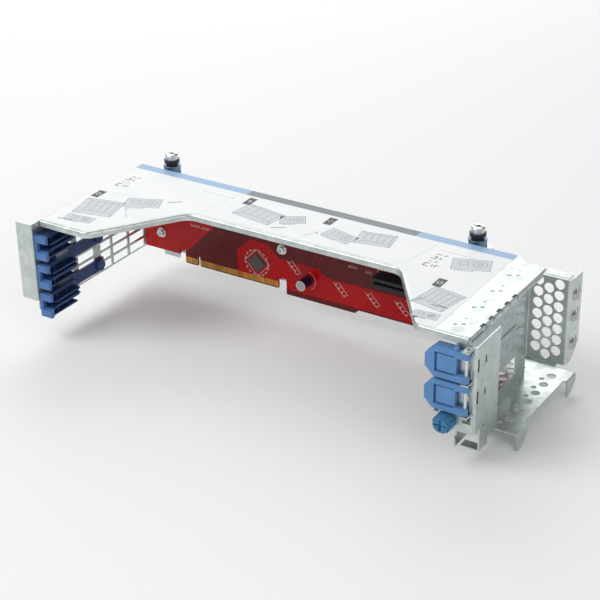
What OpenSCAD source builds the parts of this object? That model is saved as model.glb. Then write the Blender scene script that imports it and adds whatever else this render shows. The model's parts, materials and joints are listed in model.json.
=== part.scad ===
// Riser cage bracket for a two-unit rack server: a folded sheet cage that holds a
// riser board, three card guides and three card slots, in millimetres.
// Inside the modules X runs along the cage from the left wall, Y runs back with 0 on
// the rear wall, and Z runs up with 0 on the top plate. in_frame() then moves every
// piece so that the seat of the left captive screw is the origin.

/* [Sheet metal] */
// Thickness of the folded sheet
sheet_t = 1; // [0.8:0.1:1.2]
// Inner radius of the folds
bend_in = 0.6; // [0.4:0.1:0.8]
// Height of the turned-down lip along the front edge
lip_h = 4.5; // [3.5:0.5:6]

/* [Top plate] */
// Length of the top plate from the left wall to its right fold
plate_len = 341; // [280:1:410]
// Depth of the top plate from the rear wall to its front edge
plate_depth = 121; // [104:1:146]
// Width of the left lobe in front of the notch
left_lobe = 44; // [35:1:55]
// Run of the notch's left slope
left_slope = 42; // [34:1:50]
// Width of the right lobe in front of the notch
right_lobe = 38; // [30:1:46]
// Run of the notch's right slope
right_slope = 45; // [36:1:54]
// Depth of the notch
notch_depth = 62.5; // [50:0.5:75]
// Radius of the two outer corners of the lobes
corner_r = 10; // [8:1:12]
// Radius of the two inner corners of the notch
notch_r = 13; // [10:1:16]
// Thickness of the printed label
label_t = 0.15; // [0.1:0.05:0.3]

/* [Card slots] */
// Distance between neighbouring card slots
slot_pitch = 22.86; // [20.32:0.01:27.5]
// Drop from the top plate to the first card slot
first_slot = 18.2; // [17:0.1:22]
// Height of each bracket window in the slot wall
window_h = 14; // [12:0.5:16]
// Width of a slot blank
blank_w = 18.4; // [16:0.1:19.2]
// Thickness of a slot blank
blank_t = 0.86; // [0.7:0.02:1]
// Slack round a blank, a rivet or a snap peg
slack = 0.2; // [0.1:0.05:0.3]

/* [Riser board] */
// Thickness of the riser board
board_t = 1.6; // [1.2:0.1:2]
// Length of the long row of edge contacts
long_row = 71.65; // [60:0.05:75]
// Length of the short row of edge contacts
short_row = 11.65; // [9.5:0.05:14]
// Length of a card socket
socket_len = 56; // [46:1:62]
// Height of a card socket above the board
socket_h = 11.25; // [9.5:0.05:12.5]

/* [Card guides] */
// Depth of a card guide from the wall
guide_d = 9.9; // [8:0.1:11.9]
// Height of a card guide
guide_h = 18.4; // [15.5:0.1:20]
// Width of the groove for the card's edge
groove_w = 2.4; // [2:0.1:3]

/* [Latches] */
// Height of a latch
latch_h = 21; // [17.5:0.1:21]
// Length of a latch from its hinge to its free end
latch_len = 27.5; // [23:0.5:29]
// Radius of the latch rod
rod_r = 1; // [0.8:0.05:1.3]

/* [Screws] */
// Thread radius of the captive screws
captive_r = 2; // [1.7:0.05:2.3]
// Travel of a captive screw against its spring
captive_travel = 2; // [1.6:0.1:2.4]
// Radius of the thumbscrew's knob
knob_r = 6.5; // [5.5:0.1:7.5]
// Thread radius of the thumbscrew
thumb_r = 1.75; // [1.5:0.05:2]
// Radial running clearance of a shaft in its hole
run_fit = 0.05; // [0.02:0.01:0.08]

/* [Hidden] */
$fn = 48;
eps = 0.01;

// Sheet and folds
t = sheet_t;
bend_out = bend_in + t;
relief = bend_out + 0.6;
front_y = -plate_depth;
notch_y = front_y + notch_depth;
rear_step = 9;

// Card slots, measured down from the top plate
function slot_z(i) = -first_slot - (i - 1) * slot_pitch;
left_bottom = slot_z(3) - 4.1;
floor_z = slot_z(3) - 16.1;
rear_bottom = left_bottom + 1;

// Slot wall, post and wing of the I/O bracket
wall_x = plate_len - 8.5;
post_x = plate_len + 5;
wing_x = plate_len + 20;
wing_y = -17;
wing_bottom = slot_z(3);
post_back = front_y + 33;
flange_top = -lip_h - 0.3;
flange_bottom = slot_z(3) - 2.5;

// Riser board
board_gap = 1.4;
board_back = -t - board_gap;
board_front = board_back - board_t;
board_right = plate_len - 23;
conn_z = floor_z + 7;
row_x = 40.2;
key_w = 1.9;
socket_right = wall_x - 65;
screw_spots = [[18.6, -52.2], [129.4, -39.9], [60, -9], [196, -9], [board_right - 18, -9], [board_right - 18, -60]];

// Latches hinge on one rod held by three ears of the front flange
rod_x = plate_len - 0.1;
rod_y = front_y - 3.6;
latch_left = rod_x - latch_len;
latch_face = rod_y - 2.1;

// Captive screws behind the rear wall
captive_x = [22, plate_len - 60];
captive_y = 9;
tab_z = -6;
tab_w = 20;
seat_z = tab_z - t;
collar_top = 0.3;
cup_low = collar_top + captive_travel;
cup_high = cup_low + 2.6;
collar_r = 6.6;
sleeve_r = 4.3;
sleeve_t = 0.6;
collar_floor = tab_z + 1;

// Thumbscrew beside the lowest slot
thumb_x = wall_x - 5;
thumb_z = slot_z(3) + 3.9;

// Moves a piece from cage coordinates to the part's own frame
module in_frame() translate([-captive_x[0], -captive_y, -seat_z]) children();

// Pair of values measured from c
function span(c, a, b) = [c + a, c + b];

// Box between two values along each axis
module block(x, y, z) translate([x[0], y[0], z[0]]) cube([x[1] - x[0], y[1] - y[0], z[1] - z[0]]);

// Cylinder of radius r along Y between two values
module along_y(x, z, r, y) translate([x, y[0], z]) rotate([-90, 0, 0]) cylinder(h = y[1] - y[0], r = r);

// Quarter of a fold's ring in 2D, turned to one of the four quadrants
module fold(quadrant) rotate(90 * quadrant) intersection() {
    difference() {
        circle(r = bend_out);
        circle(r = bend_in);
    }
    square(bend_out);
}

// Extrudes a profile drawn in (Y, Z) along X
module sweep_x(x) translate([x[0], 0, 0]) rotate([90, 0, 90]) linear_extrude(x[1] - x[0]) children();

// Extrudes a profile drawn in (X, Z) along Y
module sweep_y(y) translate([0, y[1], 0]) rotate([90, 0, 0]) linear_extrude(y[1] - y[0]) children();

// Extrudes a profile drawn in (X, Y) along Z
module sweep_z(z) translate([0, 0, z[0]]) linear_extrude(z[1] - z[0]) children();

// The front edge as a path from left to right, with a radius at each inner point
lip_path = [
    [bend_out, front_y],
    [left_lobe, front_y],
    [left_lobe + left_slope, notch_y],
    [plate_len - right_lobe - right_slope, notch_y],
    [plate_len - right_lobe, front_y],
    [plate_len - bend_out, front_y]
];
lip_r = [0, corner_r, notch_r, notch_r, corner_r, 0];
last = len(lip_path) - 1;

function heading(i) = atan2(lip_path[i + 1].y - lip_path[i].y, lip_path[i + 1].x - lip_path[i].x);
function turn(i) = heading(i) - heading(i - 1);
function unit(a) = [cos(a), sin(a)];
function left_of(a) = [-sin(a), cos(a)];
function tangent_len(i) = (i == 0 || i == last) ? 0 : lip_r[i] * tan(abs(turn(i)) / 2);
function arc_start(i) = lip_path[i] - tangent_len(i) * unit(heading(i - 1));
function arc_end(i) = lip_path[i] + tangent_len(i) * unit(heading(i));
function arc_centre(i) = arc_start(i) + sign(turn(i)) * lip_r[i] * left_of(heading(i - 1));

// Stations along the front edge, each a point and its heading, with arcs in short steps
arc_steps = 10;
stations = [
    [lip_path[0], 0],
    for (i = [1:last - 1], k = [0:arc_steps])
        let (a = heading(i - 1) + turn(i) * k / arc_steps)
            [arc_centre(i) - sign(turn(i)) * lip_r[i] * left_of(a), a],
    [lip_path[last], 0]
];

// Front edge moved inwards by d
function inset_edge(d) = [for (s = stations) s[0] + d * left_of(s[1])];

// Hollow of the outer fold between the plate and its lip, as a section: in from the edge, then height
fold_steps = 4;
function round_at(k) = bend_out * [1 - sin(k * 90 / fold_steps), cos(k * 90 / fold_steps) - 1];
past_top = round_at(0) + 0.3 * (round_at(0) - round_at(1));
past_side = round_at(fold_steps) + 0.3 * (round_at(fold_steps) - round_at(fold_steps - 1));
cutter_section = [
    [past_top.x, 1],
    past_top,
    for (k = [1:fold_steps - 1]) round_at(k),
    past_side,
    [-1, past_side.y],
    [-1, 1]
];

// Carries a section along the stations, run one millimetre past both ends
module along_edge(section) {
    m = len(section);
    track = [
        [stations[0][0] - [1, 0], 0],
        for (k = [1:len(stations) - 2]) stations[k],
        [stations[len(stations) - 1][0] + [1, 0], 0]
    ];
    points = [
        for (s = track, q = section)
            let (p = s[0] + q[0] * left_of(s[1]))
                [p.x, p.y, q[1]]
    ];
    sides = [
        for (k = [0:len(track) - 2], j = [0:m - 1])
            let (n = (j + 1) % m)
                [k * m + j, k * m + n, (k + 1) * m + n, (k + 1) * m + j]
    ];
    ends = [[for (j = [m - 1:-1:0]) j], [for (j = [0:m - 1]) (len(track) - 1) * m + j]];
    polyhedron(points = points, faces = concat(sides, ends), convexity = 10);
}

// Top plate with the lip turned down along its whole front edge
label_right = plate_len - 25;
module lipped_plate() difference() {
    sweep_z([-lip_h, 0]) polygon(concat(inset_edge(0), [
        [plate_len - bend_out, -rear_step],
        [label_right + 10, -rear_step],
        [label_right, 0],
        [label_right - 2, 0],
        [label_right - 2, -bend_out],
        [relief, -bend_out],
        [bend_out, -relief]
    ]));
    sweep_z([-lip_h - 1, -t]) polygon(concat(
        [[-1, front_y + t]],
        inset_edge(t),
        [[plate_len + 1, front_y + t], [plate_len + 1, 1], [-1, 1]]
    ));
    along_edge(cutter_section);
}

// Left wall: window grid, lanced stops, peg holes and the outward flange
grid_pitch_y = 20.2;
grid_pitch_z = 8.1;
grid_bar = 2.5;
left_front = front_y - 9;
post_mid = front_y + 59.5;
post_half = 4;
peg_r = 2;
peg_spots = [[front_y + 6, 0], [post_mid, 4]];
stop_y = front_y - 1.6;
stop_z = [slot_z(1) - slot_pitch / 2, slot_z(2) - slot_pitch / 2];
stop_h = (slot_pitch - guide_h) / 2 - 0.3;

module grid_column(y_high, y_low) {
    rows = floor((-left_bottom - 10) / grid_pitch_z);
    for (k = [0:rows - 1])
        block([-eps, t + eps], [y_low, y_high], span(left_bottom + k * grid_pitch_z, 1.6, grid_pitch_z - 0.9));
}

module left_wall() {
    difference() {
        union() {
            block([0, t], [left_front + bend_out, -relief], [left_bottom, -bend_out]);
            block([0, t], [left_front + bend_out, front_y + bend_out - 0.2], [-bend_out - eps, -0.4]);
        }
        // Columns of windows from the rear corner to the wide post
        for (k = [0:5]) {
            near = -5 - k * grid_pitch_y;
            far = max(near - grid_pitch_y + grid_bar, post_mid + post_half);
            if (near - far > 4) grid_column(near, far);
        }
        // Columns of windows behind the card guides
        grid_column(post_mid - post_half, post_mid - post_half - 18);
        grid_column(post_mid - post_half - 24, post_mid - post_half - 41);
        for (i = [1:3], p = peg_spots)
            translate([-eps, p[0], slot_z(i) + p[1]]) rotate([0, 90, 0]) cylinder(h = t + 2 * eps, r = peg_r + slack);
        for (z = stop_z) block([-eps, t + eps], [stop_y + bend_out, stop_y + 6.5], [z - stop_h, z + stop_h]);
    }
    // Fold from the top plate
    sweep_y([front_y + 2, -relief]) translate([bend_out, -bend_out]) fold(1);
    // Outward flange at the front, folded away from the cards
    sweep_z([slot_z(3) + 3.5, -0.4]) {
        translate([t - bend_out, left_front + bend_out]) fold(3);
        translate([-13, left_front]) square([13 + t - bend_out, t]);
    }
    // Lanced stops between the guides
    for (z = stop_z) {
        sweep_z([z - stop_h, z + stop_h]) translate([bend_out, stop_y + bend_out]) fold(2);
        block([bend_out, 7], [stop_y, stop_y + t], [z - stop_h, z + stop_h]);
    }
}

// Tab for a captive screw, lanced and folded out of the rear wall
module captive_tab(x) {
    sweep_x([x - tab_w / 2, x + tab_w / 2]) translate([bend_in, tab_z + bend_in]) fold(2);
    translate([x, 0, tab_z - t]) linear_extrude(t) difference() {
        polygon([
            [-tab_w / 2, bend_in],
            [tab_w / 2, bend_in],
            [tab_w / 2, captive_y + 4],
            [tab_w / 2 - 5, captive_y + 9],
            [5 - tab_w / 2, captive_y + 9],
            [-tab_w / 2, captive_y + 4]
        ]);
        translate([0, captive_y]) circle(r = 3.5 + run_fit);
    }
}

// Rear wall behind the riser board
module rear_wall() {
    difference() {
        union() {
            block([relief, label_right - 2], [-t, 0], [rear_bottom, -bend_out]);
            block([17.5, 32.5], [-t, 0], [conn_z + 0.8, rear_bottom + eps]);
        }
        for (x = captive_x)
            block(span(x, -tab_w / 2 - 0.5, tab_w / 2 + 0.5), [-t - eps, eps], [tab_z - 16, tab_z + bend_in]);
        for (p = screw_spots) along_y(p[0], p[1], 2.2 + run_fit, [-t - eps, eps]);
        // Relief for the solder tails of the two sockets
        for (i = [1:2]) block([socket_right - socket_len, socket_right], [-t - eps, eps], span(slot_z(i), -5, 5));
    }
    sweep_x([relief, label_right - 2]) translate([-bend_out, -bend_out]) fold(0);
    for (x = captive_x) captive_tab(x);
}

// Short fold along the right edge
module right_fold() difference() {
    sweep_y([front_y + 2.5, -rear_step - 1]) {
        translate([plate_len - bend_out, -bend_out]) fold(0);
        translate([plate_len - t, -3.5]) square([t, 3.5 - bend_out]);
    }
    finger_slots();
}

// Slots across the right fold, one for each grounding finger
module finger_slots() for (k = [0:4])
    block([plate_len - 2.9, plate_len + eps], span(front_y + 20 + k * 11.3, -2.7, 2.7), [-2.5, eps]);

// Dimples where the top plate is clinched to the I/O bracket's flange
module clinch_dimples() for (k = [0:3]) {
    y = front_y + 12.5 + k * 25.8;
    for (dx = [0, 4.4]) translate([wall_x - 8 + dx, y + dx * 0.6, -0.45]) cylinder(h = 1, r = 1.5);
    translate([wall_x - 5.6, y + 10, -0.3]) cylinder(h = 1, r = 1);
}

module cage_shell() color("gainsboro") in_frame() {
    difference() {
        lipped_plate();
        clinch_dimples();
        finger_slots();
    }
    left_wall();
    rear_wall();
    right_fold();
}

module top_label() color("white") in_frame() sweep_z([0, label_t]) intersection() {
    polygon(concat(inset_edge(2.5), [[plate_len - bend_out, -bend_out], [bend_out, -bend_out]]));
    translate([0, front_y]) square([label_right, plate_depth]);
}

// Plan profiles of the I/O bracket
module post_plan() translate([post_x - t, front_y + bend_out]) square([t, post_back - front_y - bend_out]);

module front_flange_plan() {
    translate([post_x - bend_out, front_y + bend_out]) fold(3);
    translate([wall_x - t + bend_out, front_y]) square([post_x - wall_x + t - 2 * bend_out, t]);
    translate([wall_x - t + bend_out, front_y + bend_out]) fold(2);
}

module wing_plan() {
    translate([wall_x - t + bend_out, wing_y + t - bend_out]) fold(1);
    translate([wall_x - t + bend_out, wing_y]) square([wing_x - wall_x + t - 2 * bend_out, t]);
    translate([wing_x - bend_out, wing_y + bend_out]) fold(3);
}

// Round holes in staggered columns across the wing
wing_pitch = 8.2;
wing_hole_r = 3.5;
module wing_holes() for (c = [0:2], k = [0:6])
    along_y(
        wall_x + 6.3 + c * 7.35,
        -5.3 - (c == 1 ? wing_pitch / 2 : 0) - k * (slot_z(3) * -1 - 10.5) / 6.5,
        wing_hole_r,
        [wing_y - eps, wing_y + t + eps]
    );

// Ears that hold the latch rod, lanced from the front flange
ear_z = [slot_z(1) + slot_pitch / 2, slot_z(1) - slot_pitch / 2, slot_z(2) - slot_pitch / 2];
module latch_ear(z) difference() {
    block([rod_x - 2.4, rod_x + 2.4], [rod_y - 2.4, front_y + t / 2], [z - 0.5, z + 0.5]);
    translate([rod_x, rod_y, z - 1]) cylinder(h = 2, r = rod_r + run_fit);
}

module io_bracket() color("lightgray") in_frame() {
    difference() {
        union() {
            // Slot wall
            block([wall_x - t, wall_x], [front_y + bend_out, wing_y + t - bend_out], [floor_z, -t - slack]);
            sweep_z([flange_bottom, flange_top]) front_flange_plan();
            sweep_z([floor_z - 3, flange_top]) post_plan();
            sweep_z([wing_bottom, -bend_out]) wing_plan();
        }
        // Top of the wall makes room for the fold of its top flange
        block([wall_x - t - eps, wall_x + eps], [front_y + 9, wing_y - 5], [-t - bend_out, 0]);
        // Bracket windows, and the notches where a bracket passes the fold
        for (i = [1:3]) {
            block([wall_x - t - eps, wall_x + eps], [front_y + 8, wing_y - 16], span(slot_z(i), -window_h / 2, window_h / 2));
            block(span(wall_x, -t - eps, 2.2), span(front_y, -eps, 4), span(slot_z(i), -blank_w / 2 - 2 * slack, blank_w / 2 + 2 * slack));
        }
        // Lower outline of the post
        block([post_x - 3, post_x + eps], span(front_y, -eps, 8), [floor_z - 4, flange_bottom]);
        block([post_x - t - eps, post_x + eps], [front_y + 20, 0], [floor_z - 4, floor_z + 2.5]);
        wing_holes();
        block([plate_len - t - 0.4, plate_len + 0.4], [wing_y - eps, wing_y + t + eps], [-4, 0]);
        // Lance windows under the ears
        for (k = [1:2]) block([rod_x - 2.4, rod_x + 2.4], span(front_y, -eps, t + eps), span(ear_z[k], -7, -0.5));
        // Vertical groove and vent slots in the post
        for (k = [0:2]) block([post_x - t - eps, post_x + eps], span(front_y, 12.3, 14.3), span(slot_z(k + 1), -2.5, 2.5));
        for (k = [0:1]) block([post_x - t - eps, post_x + eps], span(front_y, 1.7, 4.2), span(slot_z(k + 1), -4.5, 4.5));
    }
    // Top flange under the plate, folded towards the cards
    sweep_y([front_y + 9.5, wing_y - 5.5]) {
        translate([wall_x - bend_out, -t - bend_out]) fold(0);
        translate([wall_x - 16, -2 * t]) square([16 - bend_out, t]);
    }
    // Bottom flange on the floor panel
    difference() {
        sweep_y([front_y + 36, wing_y - 27]) {
            translate([wall_x - bend_out, floor_z + bend_out]) fold(3);
            translate([wall_x - 14, floor_z]) square([14 - bend_out, t]);
        }
        rivet_holes([floor_z - eps, floor_z + t + eps]);
    }
    // Top flange of the wing
    sweep_x([plate_len + 0.6, wing_x - bend_out]) {
        translate([wing_y + bend_out, -bend_out]) fold(1);
        translate([wing_y + bend_out, -t]) square([-rear_step - wing_y - bend_out, t]);
    }
    // Tapered side flange of the wing
    sweep_side_flange();
    latch_ear(ear_z[0]);
    latch_ear(ear_z[1]);
    latch_ear(ear_z[2]);
    // Foot turned under the post
    block([post_x - 13, post_x - t / 2], span(front_y, 8, 15), [floor_z - 3, floor_z - 3 + t]);
}

// Side flange of the wing, deeper at the top than at the bottom
module sweep_side_flange() difference() {
    translate([wing_x - t, 0, 0]) sweep_x([0, t]) polygon([
        [wing_y + bend_out, wing_bottom],
        [wing_y + 9, wing_bottom],
        [3, wing_bottom + 10],
        [3, -bend_out],
        [wing_y + bend_out, -bend_out]
    ]);
    for (z = spring_z) block([wing_x - t - eps, wing_x + eps], [-4.5, -1], span(z, -4.5, 4.5));
}

// Floor panel with vent holes, a rear lip and two down-turned hooks
floor_x = [plate_len - 41, plate_len + 16.6];
floor_front = post_back + 0.6;
hook_x = plate_len + 20;
module floor_holes() {
    for (c = [0:5], k = [0:3]) {
        y = -8.2 - (c % 2 == 0 ? 0 : 6.6) - k * 13.2;
        if (y > wing_y - 27 + 4) translate([wall_x - 6.6 - c * 4.5, y, floor_z - t - eps])
            cylinder(h = t + 2 * eps, r = 3.1);
    }
    for (c = [0:1], k = [0:5]) {
        y = -8.2 - (c == 0 ? 0 : 6.6) - k * 12.9;
        if (y > floor_front + 5) translate([plate_len + 7.4 - c * 4.2, y, floor_z - t - eps])
            cylinder(h = t + 2 * eps, r = c == 0 ? 3.1 : 1.9);
    }
    rivet_holes([floor_z - t - eps, floor_z + eps]);
}

// Hook at an ear of the floor, narrowing towards its tip
module floor_hook(y, w) {
    block([floor_x[1] - eps, hook_x - bend_out], [y, y + w], [floor_z - t, floor_z]);
    sweep_y([y, y + w]) translate([hook_x - bend_out, floor_z - bend_out]) fold(0);
    translate([hook_x - t, 0, 0]) sweep_x([0, t]) polygon([
        [y, floor_z - bend_out],
        [y + w, floor_z - bend_out],
        [y + w, floor_z - 5],
        [y + 6, floor_z - 11.5],
        [y + 1, floor_z - 12.5],
        [y, floor_z - 11]
    ]);
}

rivet_y = [front_y + 44, wing_y - 35];
rivet_r = 1.6;
module rivet_holes(z) for (y = rivet_y) translate([wall_x - 8.5, y, z[0]]) cylinder(h = z[1] - z[0], r = rivet_r + 0.1);
module floor_panel() color("silver") in_frame() {
    difference() {
        union() {
            block(floor_x, [floor_front, 4], [floor_z - t, floor_z]);
            block([floor_x[0], plate_len + 4], [4 - eps, 8 - bend_out], [floor_z - t, floor_z]);
        }
        floor_holes();
    }
    // Rear lip, turned up
    sweep_x([floor_x[0], plate_len + 4]) {
        translate([8 - bend_out, floor_z - t + bend_out]) fold(3);
        translate([8 - t, floor_z - t + bend_out]) square([t, 2]);
    }
    floor_hook(floor_front, 15);
    floor_hook(-10, 14);
}

// Rivets that join the slot wall's bottom flange to the floor panel
module floor_rivets() color("silver") in_frame() for (y = rivet_y) translate([wall_x - 8.5, y, floor_z]) {
    translate([0, 0, -t - 0.8]) cylinder(h = 2 * t + 1.6, r = rivet_r);
    translate([0, 0, -t - 0.8]) cylinder(h = 0.8, r = 2.8);
    translate([0, 0, t]) cylinder(h = 0.8, r1 = 2.6, r2 = 2.2);
}

// Slot blank with a front tab, a rounded tongue and a screw notch in the tab
module slot_blank(i) color("lightsteelblue") in_frame() translate([wall_x, 0, slot_z(i)]) {
    fold_in = 0.5;
    fold_out = fold_in + blank_t;
    y_tab = front_y - blank_t;
    y_end = wing_y - 8.8;
    // Blade
    block([0, blank_t], [y_tab + fold_out, y_end - 11], blank_w / 2 * [-1, 1]);
    translate([0, y_end - 11 - eps, 0]) sweep_x([0, blank_t]) {
        translate([0, -5.1]) square([6 + eps, 10.2]);
        translate([6, -3]) square([5, 6]);
        for (s = [-1, 1]) translate([6, s * 2.9]) circle(r = 2.2);
    }
    // Fold and tab
    sweep_z(blank_w / 2 * [-1, 1]) translate([fold_out, y_tab + fold_out]) rotate(180) intersection() {
        difference() {
            circle(r = fold_out);
            circle(r = fold_in);
        }
        square(fold_out);
    }
    difference() {
        block([fold_out, 10.4], [y_tab, front_y], blank_w / 2 * [-1, 1]);
        translate([8, y_tab - eps, 0]) rotate([-90, 0, 0]) cylinder(h = blank_t + 2 * eps, r = 2.2);
        block([8, 11], [y_tab - eps, front_y + eps], [-1.6, 1.6]);
    }
}
module slot_blank_1() slot_blank(1);
module slot_blank_2() slot_blank(2);

// Latch: a hollow paddle with a thumb recess and two knuckles on the rod
module latch(i) color("cornflowerblue") in_frame() translate([0, 0, slot_z(i)]) {
    h = latch_h / 2;
    back = latch_face + 8;
    inner = wall_x - t - 0.6;
    shelf = front_y - blank_t - 0.35;
    arm = 4.4;
    difference() {
        union() {
            // Paddle in front of the card bay, with chamfered free corners
            translate([0, back, 0]) rotate([90, 0, 0]) linear_extrude(back - latch_face) polygon([
                [latch_left, -h + 6],
                [latch_left + 6, -h],
                [inner, -h],
                [inner, h],
                [latch_left + 6, h],
                [latch_left, h - 6]
            ]);
            block([inner - 1, rod_x - 6.5], [latch_face, shelf], [-h, h]);
            for (s = [-1, 1]) {
                block([rod_x - 7, rod_x], [latch_face, shelf], s > 0 ? [h - arm, h] : [-h, -h + arm]);
                translate([rod_x, rod_y, s > 0 ? h - arm : -h]) cylinder(h = arm, r = 2.1);
            }
        }
        // Hollow back of the paddle
        block([latch_left + 2, inner - 1.6], [latch_face + 4, back + eps], [-h + 6.2, h - 6.2]);
        block([latch_left + 6.6, inner - 1.6], [latch_face + 4, back + eps], [-h + 1.6, h - 1.6]);
        // Thumb recess, deeper along its edge
        block([latch_left + 6.5, rod_x - 6.5 + eps], [latch_face - eps, latch_face + 0.8], [-7, 7]);
        difference() {
            block([latch_left + 6.5, rod_x - 7.5], [latch_face, latch_face + 2.4], [-7, 7]);
            block([latch_left + 8, rod_x], [latch_face - 1, latch_face + 3], [-5.8, 5.8]);
        }
        // Bore for the rod
        translate([rod_x, rod_y, -h - 1]) cylinder(h = latch_h + 2, r = rod_r + run_fit);
    }
    // Nub that a fingernail lifts
    block([rod_x - 8.5, rod_x - 5.5], [latch_face + 1, latch_face + 3.4], [h - eps, h + (i == 1 ? 2 : 0.1)]);
}
module latch_1() latch(1);
module latch_2() latch(2);

// Rod through the ears, with a round head on top
module latch_rod() color("silver") in_frame() {
    translate([rod_x, rod_y, ear_z[2] - 1.5]) cylinder(h = ear_z[0] - ear_z[2] + 2, r = rod_r);
    translate([rod_x, rod_y, ear_z[0] + 0.5]) cylinder(h = 0.8, r = 2);
}

// Plate in front of the lowest slot, with a nut clinched into it for the thumbscrew
nut_r = thumb_r + 1.6;
module retainer_plate() color("silver") in_frame() difference() {
    block([wall_x - 11, post_x - 0.6], span(front_y, -t, 0), [flange_bottom, ear_z[2] + 0.6]);
    along_y(thumb_x, thumb_z, nut_r - 0.8 + run_fit, span(front_y, -t - eps, eps));
    block([rod_x - 3, rod_x + 3], span(front_y, -t - eps, eps), span(ear_z[2], -7, 1));
}

module clinch_nut() color("gray") in_frame() difference() {
    union() {
        along_y(thumb_x, thumb_z, nut_r - 0.8, span(front_y, 0.1 - t, eps));
        along_y(thumb_x, thumb_z, nut_r, span(front_y, 0, 3.2));
    }
    along_y(thumb_x, thumb_z, thumb_r + run_fit, span(front_y, -2, 4));
}

// Fluted knob moulded on the thumbscrew's shank
flutes = 12;
module thumbscrew_knob() color("royalblue") in_frame() translate([thumb_x, front_y - t - 0.2, thumb_z]) rotate([90, 0, 0])
    difference() {
        union() {
            linear_extrude(7.4) difference() {
                circle(r = knob_r);
                for (k = [0:flutes - 1]) rotate(k * 360 / flutes) translate([knob_r + 0.5, 0]) circle(r = 1.1);
            }
            cylinder(h = 9.2, r = knob_r - 1.4);
        }
        // Cross slot for a driver
        translate([0, 0, 9.2 - 1.6]) {
            translate([-4, -0.7, 0]) cube([8, 1.4, 2]);
            translate([-0.7, -4, 0]) cube([1.4, 8, 2]);
        }
        translate([0, 0, -eps]) cylinder(h = 5, r = thumb_r);
    }

module thumbscrew_shank() color("silver") in_frame()
    along_y(thumb_x, thumb_z, thumb_r, span(front_y, -t - 5.15, 4.5));

// Card guide: ribbed channel with a flared mouth, a tail and snap pegs
module card_guide(i) color("royalblue") in_frame() translate([t, 0, slot_z(i)]) {
    h = guide_h / 2;
    base = 2;
    mouth = front_y - 7;
    rib_end = front_y + 26;
    body_end = front_y + 33;
    tail_end = post_mid + 5;
    difference() {
        union() {
            block([0, base], [mouth, body_end], [-h, h]);
            for (s = [-1, 1]) {
                // Groove wall, middle rib and outer rib
                block([0, guide_d], [mouth, rib_end], s > 0 ? span(groove_w / 2, 0, 1.3) : span(-groove_w / 2, -1.3, 0));
                block([0, guide_d * 0.62], [mouth, rib_end + 3], s > 0 ? [5, 6.1] : [-6.1, -5]);
                block([0, guide_d * 0.82], [mouth, rib_end - 2], s > 0 ? [h - 1.2, h] : [-h, -h + 1.2]);
            }
            // Head with cross ribs behind it
            block([0, guide_d], [mouth, mouth + 3.2], [-h, h]);
            for (k = [1:2]) block([0, guide_d * 0.62], span(mouth + k * 11, 0, 1.2), [-h + 1, h - 1]);
            // Tail that reaches the wide post
            block([0, base - 0.4], [body_end - eps, tail_end], [-1, 9]);
            translate([0, post_mid, 4]) rotate([0, 90, 0]) cylinder(h = base + 1.6, r = 4.2);
        }
        // Groove for the card's edge, flared at the mouth
        block([base, guide_d + eps], [mouth - eps, rib_end + eps], groove_w / 2 * [-1, 1]);
        translate([base, 0, 0]) rotate([90, 0, 90]) linear_extrude(guide_d) polygon([
            [mouth - eps, -4],
            [mouth + 7, -groove_w / 2],
            [mouth + 7, groove_w / 2],
            [mouth - eps, 4]
        ]);
    }
    for (p = peg_spots) translate([0, p[0], p[1]]) rotate([0, -90, 0]) {
        translate([0, 0, -eps]) cylinder(h = t + eps, r = peg_r);
        translate([0, 0, t]) cylinder(h = 1.4, r1 = peg_r + 0.5, r2 = peg_r - 0.6);
    }
}
module card_guide_1() card_guide(1);
module card_guide_2() card_guide(2);
module card_guide_3() card_guide(3);

// Riser board with its keyed edge connector
module riser_board() color("firebrick") in_frame() difference() {
    x1 = row_x + short_row;
    x2 = x1 + key_w;
    x3 = x2 + long_row;
    cut = 0.6;
    translate([0, board_back, 0]) rotate([90, 0, 0]) linear_extrude(board_t) polygon([
        [2, -3],
        [2, conn_z + 6.1],
        [row_x - 5.2, conn_z + 6.1],
        [row_x - 5.2, conn_z + 10.4],
        [row_x, conn_z + 10.4],
        [row_x, conn_z + cut],
        [row_x + cut, conn_z],
        [x1 - cut, conn_z],
        [x1, conn_z + cut],
        [x1, conn_z + 8],
        [x2, conn_z + 8],
        [x2, conn_z + cut],
        [x2 + cut, conn_z],
        [x3 - cut, conn_z],
        [x3, conn_z + cut],
        [x3, conn_z + 9.2],
        [x3 + 7, conn_z + 9.2],
        [x3 + 7, conn_z - 3.3],
        [x3 + 66, conn_z - 3.3],
        [x3 + 69, conn_z - 0.4],
        [board_right, conn_z - 0.4],
        [board_right, -3]
    ]);
    for (p = screw_spots) along_y(p[0], p[1], 1.5 + slack, [board_front - eps, board_back + eps]);
}

// Gold pads on both faces of the edge connector
pad_w = 0.7;
pad_t = 0.1;
module pad_row(x, length) for (k = [0:floor(length) - 1]) {
    px = x + (length - floor(length)) / 2 + k + (1 - pad_w) / 2;
    block([px, px + pad_w], [board_front - pad_t, board_front], span(conn_z, 0.9, 5.6));
    block([px, px + pad_w], [board_back, board_back + pad_t], span(conn_z, 0.9, 5.6));
}
module edge_contacts() color("gold") in_frame() {
    pad_row(row_x, short_row);
    pad_row(row_x + short_row + key_w, long_row);
}

// Standoffs pressed into the rear wall
module board_standoffs() color("silver") in_frame() for (p = screw_spots) difference() {
    union() {
        along_y(p[0], p[1], 3, [board_back, -t]);
        along_y(p[0], p[1], 2.2, [-t - eps, 0]);
    }
    along_y(p[0], p[1], 1.5 + run_fit, [board_back - eps, 1]);
}

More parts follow.
